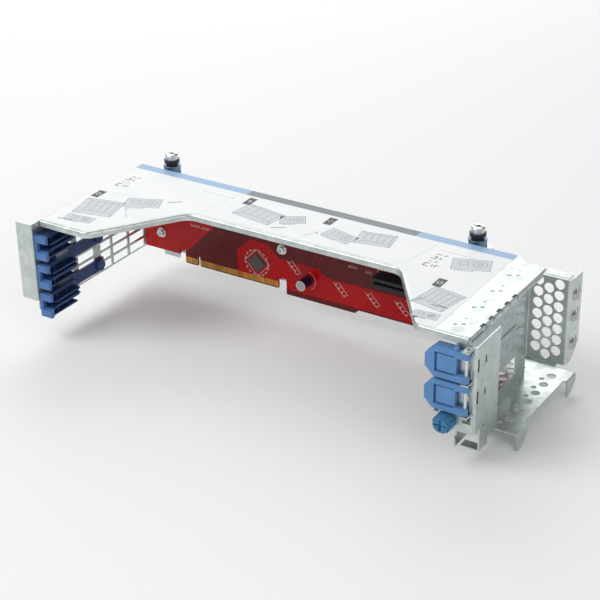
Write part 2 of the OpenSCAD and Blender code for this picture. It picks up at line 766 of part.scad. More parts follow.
// Pan head screws with a washer face
module board_screws() color("silver") in_frame() for (p = screw_spots) difference() {
    union() {
        along_y(p[0], p[1], 1.5, [board_front - eps, 0.8]);
        along_y(p[0], p[1], 4, [board_front - 0.8, board_front]);
        along_y(p[0], p[1], 2.9, [board_front - 2.9, board_front - 0.8 + eps]);
    }
    translate([p[0], board_front - 2.9 - eps, p[1]]) rotate([-90, 0, 0]) cylinder(h = 1.5, r = 1.3, $fn = 6);
}

// Card socket with a card slot and a key rib
module socket(i) color([0.13, 0.13, 0.14]) in_frame() translate([0, board_front, slot_z(i)]) difference() {
    block([socket_right - socket_len, socket_right], [-socket_h, 0], [-3.75, 3.75]);
    block([socket_right - socket_len + 2, socket_right - 14.8], [-socket_h - eps, -3], [-0.95, 0.95]);
    block([socket_right - 13, socket_right - 2], [-socket_h - eps, -3], [-0.95, 0.95]);
    // Rounded lead-in along the mouth
    translate([socket_right - socket_len + 1.4, -socket_h, 0]) rotate([90, 0, 90])
        linear_extrude(socket_len - 2.8) polygon([[-eps, -1.7], [0.9, 0], [-eps, 1.7]]);
}
module socket_1() socket(1);
module socket_2() socket(2);

// Square chip set at forty-five degrees on the board
chip_at = [106.7, -56.4];
module on_board(p) translate([p[0], board_front, p[1]]) rotate([90, 0, 0]) children();
module bridge_chip() color([0.3, 0.31, 0.3]) in_frame() on_board(chip_at) rotate(45) {
    translate([-5, -5, 0.15]) cube([10, 10, 1.25]);
    translate([-5.8, -5.8, 0]) cube([11.6, 11.6, 0.3]);
}

// Small parts in a ring round the chip and in four slanted rows
module chip_part(l, w, h) translate([-l / 2, -w / 2, 0]) cube([l, w, h]);
ring_parts = 16;
row_at = [[136, -49], [176, -56.5], [203, -58], [227, -58.5]];
module board_passives() color("tan") in_frame() {
    on_board(chip_at) for (k = [0:ring_parts - 1]) rotate(k * 360 / ring_parts + 8)
        translate([10.3, 0, 0]) chip_part(1.2, 2, 0.7);
    for (p = row_at, k = [0:3]) on_board(p + k * [2.4, -2.6]) rotate(45) chip_part(1.8, 1, 0.6);
}

// Can capacitor with a rolled end and a base sleeve
cap_at = [152, -59.5];
module capacitor() color([0.15, 0.14, 0.15]) in_frame() on_board(cap_at) {
    difference() {
        cylinder(h = 11.5, r = 4);
        translate([0, 0, 11.2]) cylinder(h = 1, r = 3.3);
    }
}

// Captive screw: collar on the tab, spring, sliding cup and spinning screw
module collar(x) color("lightslategray") in_frame() translate([x, captive_y, 0]) difference() {
    union() {
        translate([0, 0, seat_z]) cylinder(h = t + eps, r = 3.5);
        translate([0, 0, tab_z]) cylinder(h = collar_top - tab_z, r = collar_r);
    }
    translate([0, 0, seat_z - 1]) cylinder(h = 10, r = captive_r + 0.1);
    translate([0, 0, collar_floor]) cylinder(h = 10, r = sleeve_r + run_fit);
}

// One round wire swept along a helix: rings of points joined by quads
spring_r = 2.95;
wire_r = 0.32;
spring_turns = 4;
module coil_spring(z0, z1) {
    sides = 6;
    steps = spring_turns * 16;
    rise = z1 - z0 - 2 * wire_r;
    points = [
        for (k = [0:steps])
            let (a = k * 360 * spring_turns / steps, z = z0 + wire_r + rise * k / steps)
                for (j = [0:sides - 1])
                    let (r = spring_r + wire_r * cos(j * 60))
                        [r * cos(a), r * sin(a), z + wire_r * sin(j * 60)]
    ];
    quads = [
        for (k = [0:steps - 1], j = [0:sides - 1])
            let (n = (j + 1) % sides)
                [k * sides + j, (k + 1) * sides + j, (k + 1) * sides + n, k * sides + n]
    ];
    ends = [[for (j = [0:sides - 1]) j], [for (j = [sides - 1:-1:0]) steps * sides + j]];
    polyhedron(points = points, faces = concat(quads, ends), convexity = 10);
}

module spring(x) color("dimgray") in_frame() translate([x, captive_y, 0])
    coil_spring(collar_floor + 0.05, cup_high - 1.05);

module cup(x) color([0.12, 0.13, 0.16]) in_frame() translate([x, captive_y, 0]) difference() {
    union() {
        translate([0, 0, cup_low]) cylinder(h = cup_high - cup_low, r = collar_r - 0.7);
        translate([0, 0, collar_floor + captive_travel + 0.3])
            cylinder(h = cup_low - collar_floor - captive_travel, r = sleeve_r);
    }
    translate([0, 0, collar_floor]) cylinder(h = cup_high - 1 - collar_floor, r = sleeve_r - sleeve_t);
    translate([0, 0, cup_high - 2]) cylinder(h = 4, r = captive_r - 0.3 + run_fit);
}

module screw(x) color("silver") in_frame() translate([x, captive_y, 0]) difference() {
    head_z = cup_high + 0.05;
    union() {
        translate([0, 0, seat_z - 8]) cylinder(h = 8, r = captive_r);
        translate([0, 0, seat_z]) cylinder(h = head_z - seat_z + eps, r = captive_r - 0.3);
        translate([0, 0, head_z]) cylinder(h = 3.4, r = 4.8);
        translate([0, 0, head_z + 3.4 - eps]) cylinder(h = 1, r1 = 4.8, r2 = 4.1);
    }
    translate([-6, -0.9, head_z + 2.4]) cube([12, 1.8, 3]);
    translate([0, 0, head_z + 1.6]) cylinder(h = 4, r = 2.3, $fn = 6);
}

module left_collar() collar(captive_x[0]);
module left_spring() spring(captive_x[0]);
module left_cup() cup(captive_x[0]);
module left_screw() screw(captive_x[0]);
module right_collar() collar(captive_x[1]);
module right_spring() spring(captive_x[1]);
module right_cup() cup(captive_x[1]);
module right_screw() screw(captive_x[1]);

// Bowed grounding springs on the wing's side flange
spring_z = [slot_z(1) + 3, slot_z(2) + 10, slot_z(3) + 12];
bow_r = 6;
bow_depth = 2.2;
module contact_springs() color("darkkhaki") in_frame() for (z = spring_z) sweep_z([z - 2.5, z + 2.5])
    translate([wing_x, -6.5]) difference() {
        intersection() {
            translate([bow_depth - bow_r, 0]) circle(r = bow_r);
            translate([0, -8]) square([6, 16]);
        }
        translate([bow_depth - bow_r, 0]) circle(r = bow_r - 0.3);
    }

cage_shell();
top_label();
io_bracket();
floor_panel();
floor_rivets();
slot_blank_1();
slot_blank_2();
latch_1();
latch_2();
latch_rod();
retainer_plate();
clinch_nut();
thumbscrew_knob();
thumbscrew_shank();
card_guide_1();
card_guide_2();
card_guide_3();
riser_board();
edge_contacts();
board_standoffs();
board_screws();
socket_1();
socket_2();
bridge_chip();
board_passives();
capacitor();
left_collar();
left_spring();
left_cup();
left_screw();
right_collar();
right_spring();
right_cup();
right_screw();
contact_springs();
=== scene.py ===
"""Looks of a riser cage bracket: galvanised folded sheet, a printed label, a red riser board,
blue moulded guides and latches, and sprung captive screws. Lengths are metres in the row
frame; plain numbers in the piece lists are millimetres from the top plate's rear left corner."""

import json
import math

import bmesh
import bpy
import numpy as np
from mathutils import Euler, Matrix, Vector


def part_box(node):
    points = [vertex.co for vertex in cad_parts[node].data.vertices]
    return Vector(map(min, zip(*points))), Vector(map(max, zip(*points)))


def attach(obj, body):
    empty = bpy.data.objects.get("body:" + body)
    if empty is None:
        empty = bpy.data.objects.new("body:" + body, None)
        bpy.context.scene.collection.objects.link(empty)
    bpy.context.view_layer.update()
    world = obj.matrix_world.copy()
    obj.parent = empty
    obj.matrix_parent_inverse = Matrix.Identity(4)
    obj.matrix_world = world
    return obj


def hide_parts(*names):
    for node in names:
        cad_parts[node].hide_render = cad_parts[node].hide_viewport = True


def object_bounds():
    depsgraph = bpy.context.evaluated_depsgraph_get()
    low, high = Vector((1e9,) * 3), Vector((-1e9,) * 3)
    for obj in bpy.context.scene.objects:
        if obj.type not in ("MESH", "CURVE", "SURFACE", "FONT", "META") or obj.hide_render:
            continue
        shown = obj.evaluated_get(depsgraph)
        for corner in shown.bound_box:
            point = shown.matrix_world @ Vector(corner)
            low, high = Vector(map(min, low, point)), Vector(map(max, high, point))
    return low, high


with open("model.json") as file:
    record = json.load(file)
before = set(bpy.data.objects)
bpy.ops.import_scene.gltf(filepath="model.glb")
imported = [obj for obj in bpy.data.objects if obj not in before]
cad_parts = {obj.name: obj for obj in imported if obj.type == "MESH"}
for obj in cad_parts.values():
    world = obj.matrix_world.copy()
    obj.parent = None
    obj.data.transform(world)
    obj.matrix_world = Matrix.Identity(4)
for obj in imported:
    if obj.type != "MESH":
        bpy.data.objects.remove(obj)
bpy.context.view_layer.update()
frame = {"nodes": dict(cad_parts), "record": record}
NODES = frame["nodes"]
BODY_OF = {n: b for b, ns in frame["record"]["behaviour"]["bodies"].items() for n in ns}
MM = 0.001
# How far the printed film stops short of the rear left corner of the top plate
FOLD = 1.6 * MM

label_low, label_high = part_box("top_label")
board_low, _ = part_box("riser_board")
CORNER = np.array([label_low.x - FOLD, label_high.y + FOLD, label_low.z])
LABEL_TOP = label_high.z
BOARD_FACE = board_low.y


# ---------------------------------------------------------------- shader building


def tint(r, g, b):
    """A screen colour from 0 to 255 as linear light, with alpha 1."""
    c = np.array([r, g, b]) / 255.0
    lin = np.where(c <= 0.04045, c / 12.92, ((c + 0.055) / 1.055) ** 2.4)
    return (*[float(x) for x in lin], 1.0)


class Net:
    """Short ways to add nodes to one tree. Each returns an output socket."""

    def __init__(self, tree):
        self.tree = tree

    def node(self, kind, props=None, ins=None):
        made = self.tree.nodes.new("ShaderNode" + kind)
        for key, value in (props or {}).items():
            setattr(made, key, value)
        for key, value in (ins or {}).items():
            self.feed(made.inputs[key], value)
        return made

    def feed(self, socket, value):
        if isinstance(value, bpy.types.NodeSocket):
            self.tree.links.new(value, socket)
        else:
            socket.default_value = value

    def math(self, op, a, b=0.0, clamp=False):
        made = self.node("Math", {"operation": op, "use_clamp": clamp}, {0: a, 1: b})
        return made.outputs[0]

    def place(self):
        return self.node("TexCoord").outputs["Object"]

    def axes(self, vector):
        parts = self.node("SeparateXYZ", None, {0: vector})
        return parts.outputs[0], parts.outputs[1], parts.outputs[2]

    def stretch(self, vector, scale, turn=(0, 0, 0)):
        ins = {"Vector": vector, "Scale": scale, "Rotation": turn}
        return self.node("Mapping", None, ins).outputs[0]

    def noise(self, vector, scale, detail=3.0, rough=0.5):
        ins = {"Vector": vector, "Scale": scale, "Detail": detail, "Roughness": rough}
        return self.node("TexNoise", None, ins).outputs["Fac"]

    def cells(self, vector, scale, spread=1.0):
        ins = {"Vector": vector, "Scale": scale, "Randomness": spread}
        return self.node("TexVoronoi", None, ins)

    def ramp(self, value, low, high, to_low=0.0, to_high=1.0):
        ins = {"Value": value, "From Min": low, "From Max": high, "To Min": to_low, "To Max": to_high}
        return self.node("MapRange", {"clamp": True}, ins).outputs[0]

    def blend(self, factor, a, b):
        made = self.node("Mix", {"data_type": "RGBA"})
        self.feed(made.inputs[0], factor)
        self.feed(made.inputs[6], a)
        self.feed(made.inputs[7], b)
        return made.outputs[2]

    def bump(self, height, strength, distance):
        ins = {"Height": height, "Strength": strength, "Distance": distance}
        return self.node("Bump", None, ins).outputs[0]

    def group(self, tree, **ins):
        made = self.tree.nodes.new("ShaderNodeGroup")
        made.node_tree = tree
        for key, value in ins.items():
            self.feed(made.inputs[key.replace("_", " ")], value)
        return made.outputs


def new_group(name, ins, outs):
    """An empty shader node group with float inputs (name: default) and named outputs."""
    tree = bpy.data.node_groups.new(name, "ShaderNodeTree")
    for key, default in ins.items():
        socket = tree.interface.new_socket(key, in_out="INPUT", socket_type="NodeSocketFloat")
        socket.default_value = default
    for key in outs:
        tree.interface.new_socket(key, in_out="OUTPUT", socket_type="NodeSocketFloat")
    net = Net(tree)
    given = tree.nodes.new("NodeGroupInput").outputs
    result = tree.nodes.new("NodeGroupOutput").inputs
    return net, given, result, tree


def edge_wear_group():
    """Worn edges: 1 minus the dot of the rounded normal and the true one, broken up by noise."""
    ins = {"Radius": 0.0006, "Gain": 8.0, "Breakup": 260.0}
    net, given, result, tree = new_group("EdgeWear", ins, ["Mask"])
    rounded = net.node("Bevel", {"samples": 4}, {"Radius": given["Radius"]}).outputs[0]
    true = net.node("NewGeometry").outputs["Normal"]
    dot = net.node("VectorMath", {"operation": "DOT_PRODUCT"}, {0: rounded, 1: true}).outputs["Value"]
    edge = net.math("MULTIPLY", net.math("SUBTRACT", 1.0, dot), given["Gain"], clamp=True)
    patches = net.ramp(net.noise(net.place(), given["Breakup"], 4.0, 0.65), 0.38, 0.62)
    net.feed(result["Mask"], net.math("MULTIPLY", edge, patches))
    return tree


def spangle_group():
    """Zinc crystals: random shade per Voronoi cell, softened by a second finer set and slow clouds."""
    net, given, result, tree = new_group("Spangle", {"Scale": 160.0}, ["Shade", "Fine"])
    place = net.place()
    ins = {"Vector": place, "Scale": given["Scale"], "Detail": 2.0}
    warp = net.node("TexNoise", None, ins).outputs["Color"]
    ins = {0: warp, 1: (0.004, 0.004, 0.004), 2: place}
    bent = net.node("VectorMath", {"operation": "MULTIPLY_ADD"}, ins)
    big = net.cells(bent.outputs[0], given["Scale"]).outputs["Color"]
    small = net.cells(bent.outputs[0], net.math("MULTIPLY", given["Scale"], 2.6)).outputs["Color"]
    shade = net.math("ADD", net.math("MULTIPLY", big, 0.55), net.math("MULTIPLY", small, 0.25))
    cloud = net.noise(place, net.math("MULTIPLY", given["Scale"], 0.12), 2.0)
    net.feed(result["Shade"], net.math("ADD", shade, net.math("MULTIPLY", cloud, 0.2)))
    net.feed(result["Fine"], net.noise(place, net.math("MULTIPLY", given["Scale"], 22.0), 2.0))
    return tree


def scuff_group():
    """Fine handling scratches: noise stretched along two slanted directions and cut to thin lines."""
    net, given, result, tree = new_group("Scuffs", {"Scale": 60.0, "Amount": 0.5}, ["Mask"])
    place = net.place()
    lines = []
    for turn, stretch in ((0.5, (1, 26, 18)), (-0.9, (24, 1.2, 20))):
        lined = net.stretch(place, stretch, (0.3, 0.1, turn))
        value = net.noise(lined, given["Scale"], 2.0, 0.4)
        lines.append(net.ramp(value, 0.66, 0.7))
    either = net.math("MAXIMUM", lines[0], lines[1])
    faded = net.math("MULTIPLY", either, net.ramp(net.noise(place, 40.0, 2.0), 0.45, 0.7))
    net.feed(result["Mask"], net.math("MULTIPLY", faded, given["Amount"]))
    return tree


def grain_group():
    """Moulded grain: fine noise over a coarser orange peel, as one height."""
    net, given, result, tree = new_group("Grain", {"Scale": 2200.0, "Peel": 0.4}, ["Height"])
    place = net.place()
    fine = net.noise(place, given["Scale"], 2.0)
    peel = net.noise(place, net.math("MULTIPLY", given["Scale"], 0.12), 1.0)
    net.feed(result["Height"], net.math("ADD", fine, net.math("MULTIPLY", peel, given["Peel"])))
    return tree


def dust_group():
    """Light dust: the upward part of the normal times slow noise."""
    net, given, result, tree = new_group("Dust", {"Amount": 0.15}, ["Mask"])
    up = net.axes(net.node("NewGeometry").outputs["Normal"])[2]
    lying = net.math("MULTIPLY", net.ramp(up, 0.3, 1.0), net.noise(net.place(), 55.0, 5.0, 0.6))
    net.feed(result["Mask"], net.math("MULTIPLY", lying, given["Amount"]))
    return tree


def inside_group():
    """1 inside a box given by its middle and half sizes on two axes, 0 outside, with a thin soft
    edge."""
    ins = {"U": 0.0, "V": 0.0, "Mid U": 0.0, "Mid V": 0.0, "Half U": 1.0, "Half V": 1.0}
    net, given, result, tree = new_group("Inside", ins, ["Mask"])
    past = []
    for axis in ("U", "V"):
        away = net.math("ABSOLUTE", net.math("SUBTRACT", given[axis], given["Mid " + axis]))
        past.append(net.math("SUBTRACT", away, given["Half " + axis]))
    far = net.math("MAXIMUM", past[0], past[1])
    net.feed(result["Mask"], net.ramp(far, -0.00008, 0.00008, 1.0, 0.0))
    return tree


EDGE = edge_wear_group()
SPANGLE = spangle_group()
SCUFF = scuff_group()
GRAIN = grain_group()
DUST = dust_group()
INSIDE = inside_group()


def material(name, build, **fixed):
    """A Principled material. build(net) returns sockets for inputs; fixed sets plain values."""
    mat = bpy.data.materials.new(name)
    mat.use_nodes = True
    tree = mat.node_tree
    shader = next(n for n in tree.nodes if n.type == "BSDF_PRINCIPLED")
    net = Net(tree)
    for key, value in {**fixed, **build(net)}.items():
        net.feed(shader.inputs[key.replace("_", " ")], value)
    return mat


def zinc_sheet(light, dark, rough, scale=150.0):
    """Galvanised or plated sheet: spangle moves colour and roughness, and scuffs and worn edges
    brighten it."""

    def build(net):
        spangle = net.group(SPANGLE, Scale=scale)
        wear = net.group(EDGE, Radius=0.0004, Gain=5.0, Breakup=300.0)["Mask"]
        scuff = net.group(SCUFF, Scale=55.0, Amount=0.3)["Mask"]
        base = net.blend(net.ramp(spangle["Shade"], 0.3, 0.75), dark, light)
        marked = net.blend(net.math("MAXIMUM", wear, scuff), base, (0.8, 0.83, 0.83, 1))
        dusted = net.blend(net.group(DUST, Amount=0.1)["Mask"], marked, (0.5, 0.5, 0.48, 1))
        roughness = net.ramp(spangle["Shade"], 0.2, 0.8, rough + 0.07, rough - 0.06)
        rougher = net.math("ADD", roughness, net.math("MULTIPLY", scuff, 0.12))
        return {"Base Color": dusted, "Roughness": rougher,
                "Normal": net.bump(spangle["Fine"], 0.08, 0.00003)}

    return build


PLASTIC_GRAIN = 2600.0


def moulded(colour, rough=0.42):
    """Moulded plastic: even colour with slight clouds, fine grain, paler rubbed edges and a little
    dust."""

    def build(net):
        cloud = net.noise(net.place(), 90.0, 3.0)
        darker = tuple(c * 0.8 for c in colour[:3]) + (1,)
        base = net.blend(net.ramp(cloud, 0.3, 0.7), darker, colour)
        wear = net.group(EDGE, Radius=0.0005, Gain=3.0, Breakup=420.0)["Mask"]
        paler = tuple(min(1, c * 1.9 + 0.05) for c in colour[:3]) + (1,)
        worn = net.blend(net.math("MULTIPLY", wear, 0.6), base, paler)
        dusted = net.blend(net.group(DUST, Amount=0.12)["Mask"], worn, (0.55, 0.54, 0.52, 1))
        height = net.group(GRAIN, Scale=PLASTIC_GRAIN, Peel=0.5)["Height"]
        roughness = net.ramp(cloud, 0.2, 0.8, rough - 0.05, rough + 0.06)
        return {"Base Color": dusted, "Roughness": roughness, "Normal": net.bump(height, 0.16, 0.00005)}

    return build


def turned_metal(colour, rough, streak=900.0):
    """Plated or turned metal: fine noise moves shade and roughness, edges are rubbed bright."""

    def build(net):
        place = net.place()
        fine = net.noise(place, streak, 3.0, 0.6)
        slow = net.noise(place, 120.0, 3.0)
        darker = tuple(c * 0.72 for c in colour[:3]) + (1,)
        base = net.blend(net.ramp(slow, 0.3, 0.72), darker, colour)
        wear = net.group(EDGE, Radius=0.0003, Gain=4.0, Breakup=500.0)["Mask"]
        worn = net.blend(wear, base, (0.92, 0.92, 0.9, 1))
        roughness = net.ramp(fine, 0.25, 0.75, rough - 0.06, rough + 0.08)
        return {"Base Color": worn, "Roughness": roughness, "Normal": net.bump(fine, 0.06, 0.00004)}

    return build


PAPER = tint(243, 245, 246)
STRIPE_BLUE = tint(150, 183, 218)
STRIPE_GREY = tint(112, 121, 128)
# Band along the rear edge of the label, from the corner: its middle and half depth, then the
# middle and half length of the blue band and of the grey one laid over it
BAND_MID, BAND_HALF = -0.0045, 0.0051
BLUE_MID, BLUE_HALF = 0.158, 0.2
GREY_MID, GREY_HALF = 0.173, 0.070


def label_look(net):
    """Printed film: white paper, a coloured band along the rear edge in three lengths, rub marks."""
    x, y, _ = net.axes(net.place())
    band = {"U": y, "V": x, "Mid_U": float(CORNER[1]) + BAND_MID, "Half_U": BAND_HALF}
    rear = net.group(INSIDE, Mid_V=float(CORNER[0]) + BLUE_MID, Half_V=BLUE_HALF, **band)["Mask"]
    middle = net.group(INSIDE, Mid_V=float(CORNER[0]) + GREY_MID, Half_V=GREY_HALF, **band)["Mask"]
    fade = net.ramp(x, float(CORNER[0]) + 0.1, float(CORNER[0]) + 0.3, 0.0, 1.0)
    grey = net.blend(net.math("MULTIPLY", fade, 0.25), STRIPE_GREY, tint(150, 152, 158))
    cloud = net.ramp(net.noise(net.place(), 30.0, 4.0, 0.6), 0.35, 0.75)
    paper = net.blend(cloud, PAPER, tint(236, 239, 240))
    banded = net.blend(middle, net.blend(rear, paper, STRIPE_BLUE), grey)
    scuff = net.group(SCUFF, Scale=40.0, Amount=0.22)["Mask"]
    marked = net.blend(scuff, banded, tint(214, 218, 220))
    fibre = net.noise(net.place(), 1500.0, 3.0)
    return {"Base Color": marked, "Roughness": net.ramp(fibre, 0.3, 0.7, 0.36, 0.5),
            "Normal": net.bump(fibre, 0.05, 0.00003)}


BOARD_RED = tint(190, 2, 12)
BOARD_DARK = tint(104, 26, 30)
# Eight-sided bright red patch round the bridge chip: its middle from the corner, and half its width
# over the flats
BRIGHT_PATCH_X, BRIGHT_PATCH_Z, BRIGHT_PATCH_HALF = 0.1085, -0.0585, 0.0192
TRACES_PER_METRE = 900.0


def board_look(net):
    """Solder mask: bright red, with darker red in zones bounded by slanted lines and boxes, fine
    traces, via dots in two lattices and a glossy coat. The darker zones are half-plane and box tests on
    x and z."""
    place = net.place()
    x, _, z = net.axes(place)
    u = net.math("SUBTRACT", x, float(CORNER[0]))
    w = net.math("SUBTRACT", z, float(CORNER[2]))
    # right of the slanted edge of the darker zone, where u - 0.98 w passes 104 mm
    right = net.ramp(net.math("ADD", u, net.math("MULTIPLY", w, -0.98)), 0.1042, 0.1052)
    leaning = net.math("ADD", net.math("MULTIPLY", u, 0.985), net.math("MULTIPLY", w, -1.0))
    right = net.math("MAXIMUM", right, net.ramp(leaning, 0.1035, 0.1045))
    low_cut = net.math("ADD", -0.0486, net.ramp(u, 0.1605, 0.1665, 0.0, -0.0052))
    above = net.ramp(net.math("SUBTRACT", w, low_cut), -0.0003, 0.0003)
    near_left = net.ramp(u, 0.0885, 0.0895, 1.0, 0.0)
    dark_zone = net.math("MULTIPLY", right, net.math("MAXIMUM", above, near_left))
    # eight-sided bright patch round the chip, cut out of the darker zone
    across = net.math("ABSOLUTE", net.math("SUBTRACT", u, BRIGHT_PATCH_X))
    along = net.math("ABSOLUTE", net.math("SUBTRACT", w, BRIGHT_PATCH_Z))
    slant = net.math("ADD", net.math("MULTIPLY", across, 0.71), net.math("MULTIPLY", along, 0.71))
    reach = net.math("MAXIMUM", net.math("MAXIMUM", across, along), slant)
    bright_patch = net.ramp(reach, BRIGHT_PATCH_HALF, BRIGHT_PATCH_HALF + 0.0006, 1.0, 0.0)
    dark_zone = net.math("MULTIPLY", dark_zone, net.math("SUBTRACT", 1.0, bright_patch))
    strip = net.ramp(w, -0.0722, -0.0716, 1.0, 0.0)
    dark_zone = net.math("MAXIMUM", dark_zone, strip)
    # traces: thin slanted and level lines, each kept to some cells
    cell = net.cells(place, 95.0).outputs["Color"]
    lines = []
    for k, (ax, az) in enumerate(((0.0, 1.0), (0.7, 0.7), (0.7, -0.7))):
        run = net.math("ADD", net.math("MULTIPLY", u, ax), net.math("MULTIPLY", w, az))
        saw = net.math("FRACT", net.math("MULTIPLY", run, TRACES_PER_METRE))
        wave = net.math("ABSOLUTE", net.math("SUBTRACT", saw, 0.5))
        apart = net.math("ABSOLUTE", net.math("SUBTRACT", cell, 0.3 + 0.2 * k))
        chosen = net.ramp(apart, 0.09, 0.1, 1.0, 0.0)
        lines.append(net.math("MULTIPLY", net.ramp(wave, 0.12, 0.2, 1.0, 0.0), chosen))
    trace = net.math("MAXIMUM", lines[0], net.math("MAXIMUM", lines[1], lines[2]))
    via = net.cells(place, 210.0, spread=0.55).outputs["Distance"]
    kept = net.ramp(net.noise(place, 60.0), 0.48, 0.52)
    dots = net.math("MULTIPLY", net.ramp(via, 0.11, 0.14, 1.0, 0.0), kept)
    red = net.blend(net.math("MULTIPLY", trace, 0.55), BOARD_RED, tint(150, 2, 10))
    dark = net.blend(net.math("MULTIPLY", trace, 0.35), BOARD_DARK, tint(84, 18, 22))
    mask = net.blend(dark_zone, red, dark)
    dotted = net.blend(net.math("MULTIPLY", dots, 0.5), mask, tint(205, 60, 60))
    height = net.math("ADD", net.math("MULTIPLY", trace, 0.6), net.math("MULTIPLY", dark_zone, 0.5))
    weave = net.noise(place, 700.0, 2.0)
    return {"Base Color": dotted, "Roughness": net.ramp(weave, 0.3, 0.7, 0.2, 0.3),
            "Normal": net.bump(height, 0.25, 0.00004)}


# Where the guides' heads end, back from the corner
HEAD_END = 0.1250


def guide_look(net):
    """Guide plastic, one blue in two painted tones: a painted highlight makes the heads paler in front
    of the line where the ribs begin, and painted shade makes the channels behind navy.
    """
    place = net.place()
    y = net.axes(place)[1]
    cloud = net.noise(place, 90.0, 3.0)
    edge = float(CORNER[1]) - HEAD_END
    # Painted light: the heads in front get a paler blue as a painted highlight, and the channels behind
    # get a darker navy as painted shade, though both are one plastic.
    lit_head_mask = net.ramp(y, edge, edge + 0.0004, 1.0, 0.0)
    shaded_channel_navy = net.blend(net.ramp(cloud, 0.3, 0.7), tint(27, 50, 94), tint(36, 66, 118))
    lit_head_blue = net.blend(net.ramp(cloud, 0.3, 0.7), tint(66, 106, 166), tint(80, 124, 184))
    base = net.blend(lit_head_mask, shaded_channel_navy, lit_head_blue)
    wear = net.group(EDGE, Radius=0.0005, Gain=3.0, Breakup=420.0)["Mask"]
    worn = net.blend(net.math("MULTIPLY", wear, 0.5), base, tint(120, 156, 206))
    height = net.group(GRAIN, Scale=PLASTIC_GRAIN, Peel=0.5)["Height"]
    return {"Base Color": worn, "Roughness": net.ramp(cloud, 0.2, 0.8, 0.36, 0.46),
            "Normal": net.bump(height, 0.16, 0.00005)}


def gold_look(net):
    """Plated contacts: warm gold with wiped streaks up the pads."""
    place = net.place()
    streak = net.noise(net.stretch(place, (1, 1, 0.08)), 900.0, 2.0)
    base = net.blend(net.ramp(streak, 0.35, 0.65), tint(205, 146, 62), tint(245, 196, 110))
    return {"Base Color": base, "Roughness": net.ramp(streak, 0.3, 0.7, 0.2, 0.34)}


def ink_look(colour):
    """Printed ink with a faint uneven density."""

    def build(net):
        density = net.ramp(net.noise(net.place(), 800.0, 2.0), 0.3, 0.7)
        paler = tuple(c * 1.12 + 0.02 for c in colour[:3]) + (1,)
        return {"Base Color": net.blend(density, colour, paler)}

    return build


def can_look(net):
    """Capacitor: dark sleeve along the can, pale top beyond the rolled rim."""
    y = net.axes(net.place())[1]
    top = net.ramp(y, float(BOARD_FACE) - 0.01125, float(BOARD_FACE) - 0.01115, 1.0, 0.0)
    fine = net.noise(net.place(), 1200.0, 2.0)
    return {"Base Color": net.blend(top, tint(30, 24, 44), tint(226, 226, 234)),
            "Roughness": net.ramp(fine, 0.3, 0.7, 0.3, 0.42)}


ZINC = zinc_sheet((0.6, 0.655, 0.64, 1), (0.5, 0.555, 0.545, 1), 0.38)
BLANK_ZINC = zinc_sheet((0.58, 0.63, 0.66, 1), (0.44, 0.49, 0.52, 1), 0.32, 260.0)
GALVANISED = material("galvanised", ZINC, Metallic=1.0)
BLANK_STEEL = material("blank_steel", BLANK_ZINC, Metallic=1.0)
BRIGHT = material("bright_steel", turned_metal((0.82, 0.83, 0.84, 1), 0.24), Metallic=1.0)
WIRE = material("spring_wire", turned_metal((0.5, 0.51, 0.53, 1), 0.3), Metallic=1.0)
COLLAR = material("collar_zinc", turned_metal(tint(122, 148, 176), 0.36), Metallic=0.85)
LATCH_BLUE = material("latch_blue", moulded(tint(88, 140, 196), 0.38))
KNOB_BLUE = material("knob_blue", moulded(tint(52, 118, 164), 0.36))
GUIDE_BLUE = material("guide_blue", guide_look)
SOCKET_BLACK = material("socket_black", moulded(tint(26, 27, 30), 0.46))
CUP_BLACK = material("cup_black", moulded(tint(22, 24, 34), 0.4))
CHIP_GREY = material("chip_grey", moulded(tint(84, 84, 80), 0.5))
PART_TAN = material("part_body", moulded(tint(176, 150, 122), 0.45))
LABEL = material("label_film", label_look)
BOARD = material("board_red", board_look, Specular_IOR_Level=0.2, Coat_Weight=0.08,
                 Coat_Roughness=0.15)
GOLD = material("contact_gold", gold_look, Metallic=1.0)
SILK = material("silk_white", ink_look(tint(232, 214, 208)), Roughness=0.6)
INK_PALE = material("ink_pale", ink_look(tint(200, 206, 211)), Roughness=0.5)
INK_GREY = material("ink_grey", ink_look(tint(118, 126, 134)), Roughness=0.5)
INK_DARK = material("ink_dark", ink_look(tint(54, 58, 62)), Roughness=0.5)
INK_WHITE = material("ink_white", ink_look(tint(240, 242, 243)), Roughness=0.5)
CAN = material("can_sleeve", can_look)
TIN = material("tin", turned_metal((0.78, 0.77, 0.74, 1), 0.32), Metallic=1.0)

# ---------------------------------------------------------------- pieces from arrays


def mount(name, mesh, body, slot):
    """Puts a mesh in the scene at the origin, riding on a body. The slot argument is not used."""
    obj = bpy.data.objects.new(name, mesh)
    bpy.context.scene.collection.objects.link(obj)
    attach(obj, body)
    return obj


def add_piece(name, verts, faces, mat, slot):
    """Puts vertex and face arrays into one flat-shaded mesh object that rides on the cage."""
    mesh = bpy.data.meshes.new(name)
    mesh.from_pydata(np.asarray(verts).tolist(), [], np.asarray(faces).tolist())
    mesh.materials.append(mat)
    mesh.update()
    return mount(name, mesh, "cage", slot)


BOX_FACES = np.array([[0, 3, 2, 1], [4, 5, 6, 7], [0, 1, 5, 4],
                      [1, 2, 6, 5], [2, 3, 7, 6], [3, 0, 4, 7]])


def prisms(corners, low, high, lift):
    """Four-cornered prisms: corners is (n, 4, 2) turning anticlockwise, low and high their heights
    along the third axis; lift(u, v, h) places them. Vertices are the corners at both heights."""
    corners = np.asarray(corners, float)
    n = len(corners)
    heights = np.stack([np.broadcast_to(low, n), np.broadcast_to(high, n)], 1)
    uv = np.repeat(corners[:, None], 2, 1).reshape(n, 8, 2)
    h = np.repeat(heights[:, :, None], 4, 2).reshape(n, 8)
    verts = lift(uv[..., 0], uv[..., 1], h).reshape(-1, 3)
    faces = (BOX_FACES[None] + 8 * np.arange(n)[:, None, None]).reshape(-1, 4)
    return verts, faces


